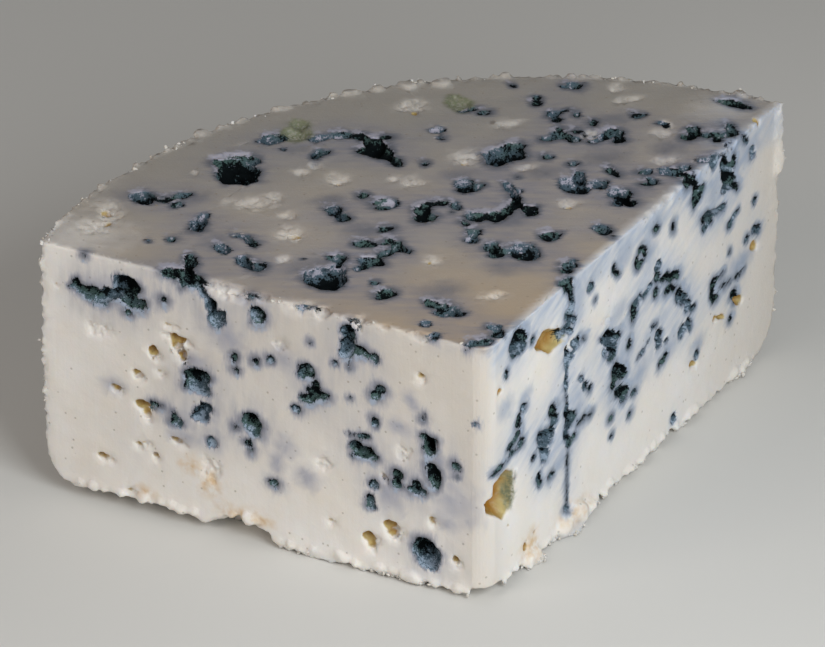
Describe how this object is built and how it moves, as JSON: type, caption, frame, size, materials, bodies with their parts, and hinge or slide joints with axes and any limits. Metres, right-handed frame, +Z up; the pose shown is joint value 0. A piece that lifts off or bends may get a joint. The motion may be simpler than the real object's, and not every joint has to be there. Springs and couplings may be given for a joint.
{
  "type": "roquefort wedge",
  "caption": "Wedge of blue-veined ewe's milk cheese with a rounded crumbly back, flat base and wire-cut faces that lay open its mould pockets; rests on its base.",
  "frame": {"origin": "on the flat base, under the middle of the wedge's length and width", "axes": "+Z up from the base, +Y from the wedge's tip towards its curved back, +X to the right seen from the tip"},
  "size_m": [0.1495, 0.1024, 0.0533],
  "materials": {
    "cheese_paste": "moist ivory cheese paste with blue-green mould in its pockets, satin"
  },
  "bodies": {
    "root": {"cheese_wedge": "cheese_paste"}
  },
  "joints": []
}
